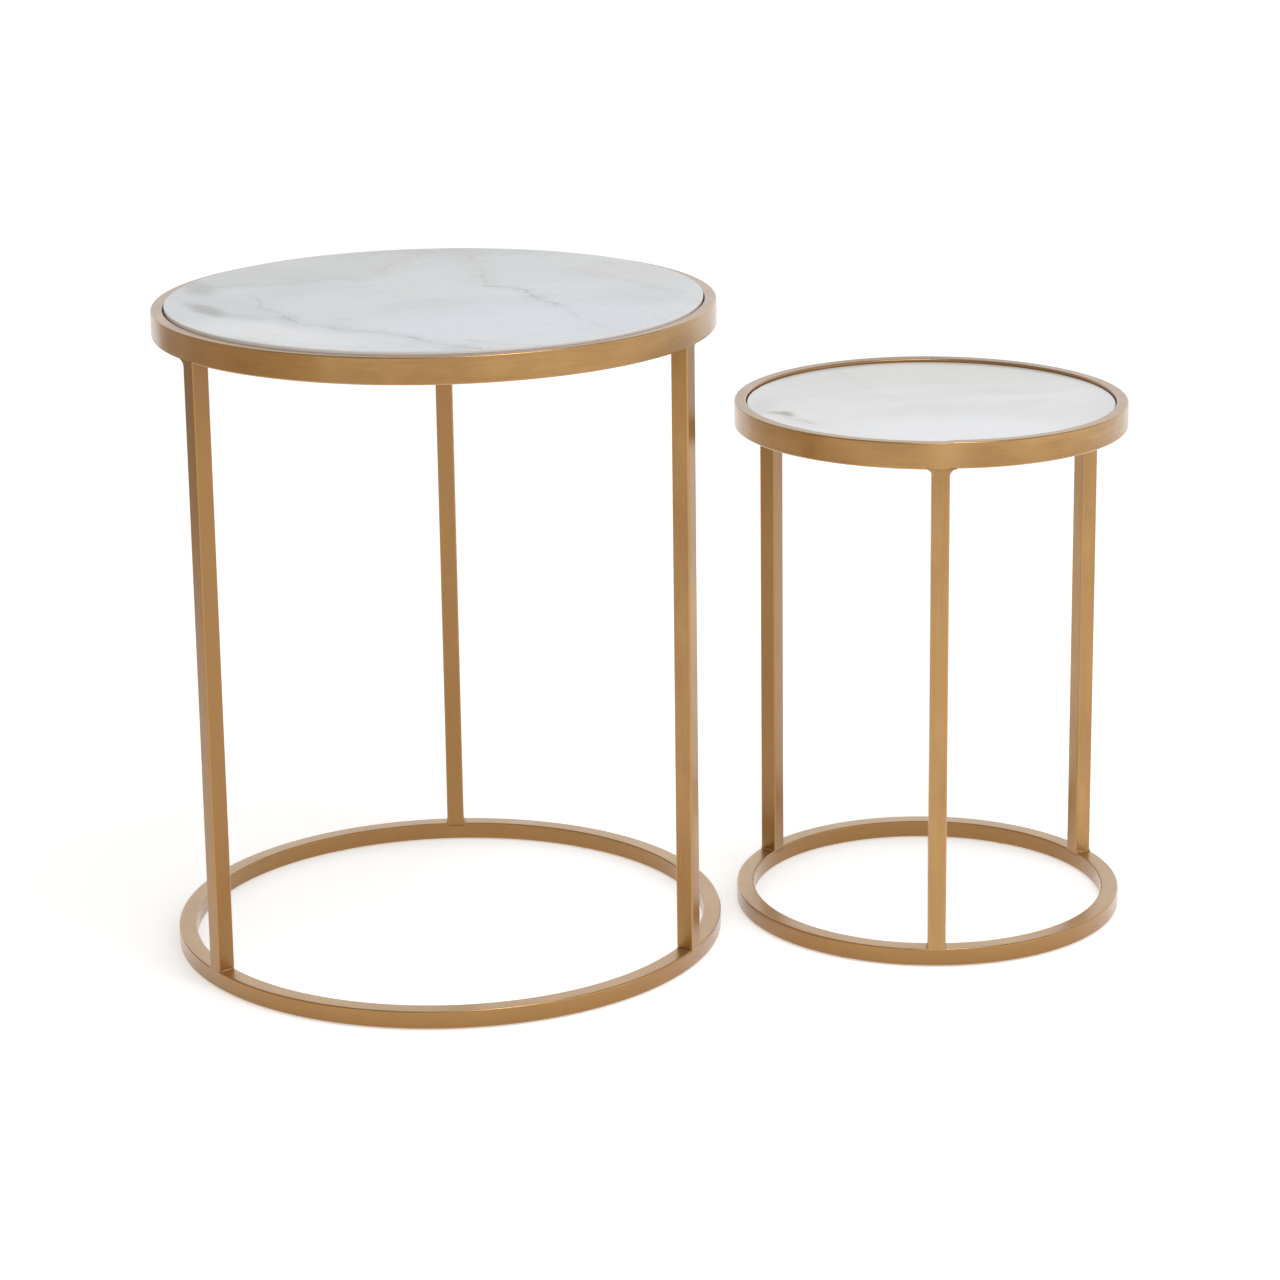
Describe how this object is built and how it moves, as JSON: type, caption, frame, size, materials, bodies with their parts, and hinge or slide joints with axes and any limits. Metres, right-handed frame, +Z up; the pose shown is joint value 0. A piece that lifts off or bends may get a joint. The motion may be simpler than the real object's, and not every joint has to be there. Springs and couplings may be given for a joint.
{
  "type": "nesting tables",
  "caption": "Pair of round nesting side tables: slim square-tube hoop frames in satin gold, each carrying a loose white veined marble slab.",
  "frame": {"origin": "on the floor, at the centre of the rectangle that the two tables cover together", "axes": "+X from the large table towards the small one, +Y to the rear, +Z up"},
  "size_m": [0.8134, 0.465, 0.5525],
  "materials": {
    "gold_frame": "satin gold lacquer over brushed steel",
    "marble": "polished white marble with soft grey veins",
    "silicone": "translucent soft silicone",
    "felt": "pressed felt"
  },
  "bodies": {
    "large_frame": {"large_top_hoop": "gold_frame", "large_base_hoop": "gold_frame", "large_leg_rear": "gold_frame", "large_leg_front_left": "gold_frame", "large_leg_front_right": "gold_frame", "large_support_tabs": "gold_frame", "large_bumpers": "silicone", "large_glides": "felt", "large_top_welds": "gold_frame", "large_base_welds": "gold_frame"},
    "large_top": {"large_marble_top": "marble"},
    "small_frame": {"small_top_hoop": "gold_frame", "small_base_hoop": "gold_frame", "small_leg_front": "gold_frame", "small_leg_rear_right": "gold_frame", "small_leg_rear_left": "gold_frame", "small_support_tabs": "gold_frame", "small_bumpers": "silicone", "small_glides": "felt", "small_top_welds": "gold_frame", "small_base_welds": "gold_frame"},
    "small_top": {"small_marble_top": "marble"}
  },
  "joints": [
    {"name": "large_top_lift", "type": "slide", "parent": "large_frame", "child": "large_top", "axis": [0, 0, 1], "range_m": [0, 0.15]},
    {"name": "small_table_slide", "type": "slide", "parent": "large_frame", "child": "small_frame", "axis": [0.9908, 0.1351, 0], "range_m": [-0.018, 0.3]},
    {"name": "small_top_lift", "type": "slide", "parent": "small_frame", "child": "small_top", "axis": [0, 0, 1], "range_m": [0, 0.15]}
  ]
}
